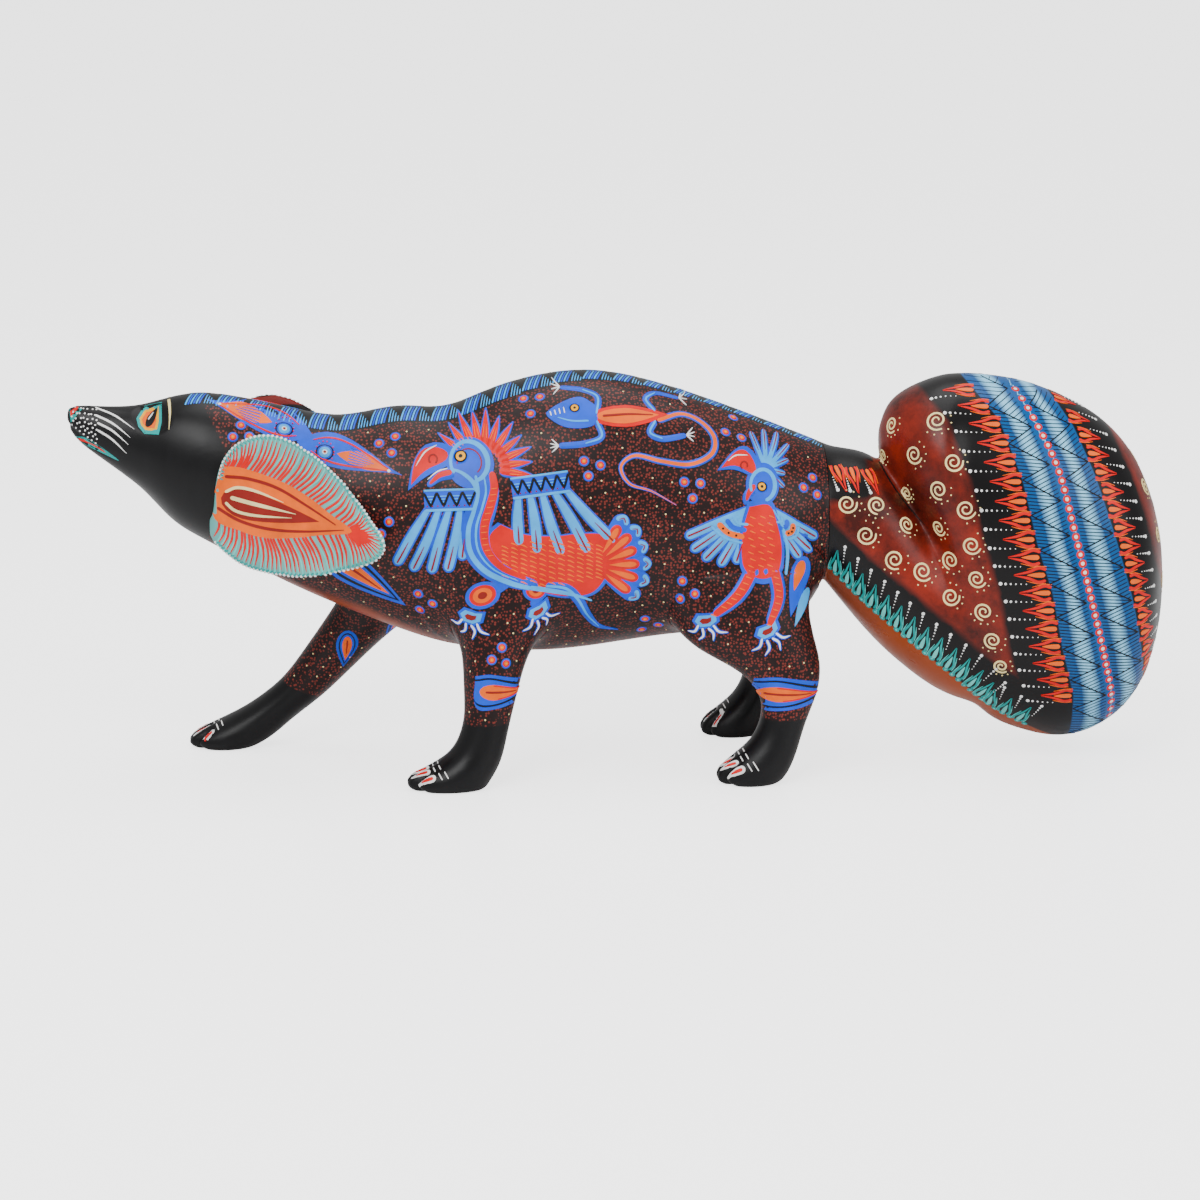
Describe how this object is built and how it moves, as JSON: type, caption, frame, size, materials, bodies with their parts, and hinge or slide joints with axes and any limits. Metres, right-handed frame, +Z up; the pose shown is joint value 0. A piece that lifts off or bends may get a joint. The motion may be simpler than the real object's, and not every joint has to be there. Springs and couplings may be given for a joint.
{
  "type": "alebrije fox figure",
  "caption": "Carved and painted wooden fox walking on flat soles, with a fat curled plug-in tail and leaf-shaped plug-in ears.",
  "frame": {"origin": "on the surface the soles rest on, in the middle of the bounding box", "axes": "+Z up, the nose points to -X, the fox's left side is -Y"},
  "size_m": [0.5442, 0.1227, 0.1991],
  "materials": {
    "body_paint": "satin acrylic paint over carved copal wood",
    "leg_paint": "satin acrylic paint over carved copal wood",
    "ear_paint": "satin acrylic paint over carved copal wood",
    "tail_paint": "satin acrylic paint over carved copal wood",
    "bare_copal": "bare turned wood"
  },
  "bodies": {
    "figure": {"body_carving": "body_paint", "front_left_leg": "leg_paint", "front_right_leg": "leg_paint", "hind_left_leg": "leg_paint", "hind_right_leg": "leg_paint", "front_left_dowel": "bare_copal", "front_right_dowel": "bare_copal", "hind_left_dowel": "bare_copal", "hind_right_dowel": "bare_copal"},
    "tail": {"tail": "tail_paint", "tail_peg": "bare_copal"},
    "left_ear": {"left_ear": "ear_paint", "left_ear_peg": "bare_copal"},
    "right_ear": {"right_ear": "ear_paint", "right_ear_peg": "bare_copal"}
  },
  "joints": [
    {"name": "tail_pull", "type": "slide", "parent": "figure", "child": "tail", "axis": [1, 0, 0], "range_m": [0, 0.05]},
    {"name": "left_ear_pull", "type": "slide", "parent": "figure", "child": "left_ear", "axis": [0, -1, 0], "range_m": [0, 0.025]},
    {"name": "right_ear_pull", "type": "slide", "parent": "figure", "child": "right_ear", "axis": [0, 1, 0], "range_m": [0, 0.025]}
  ]
}
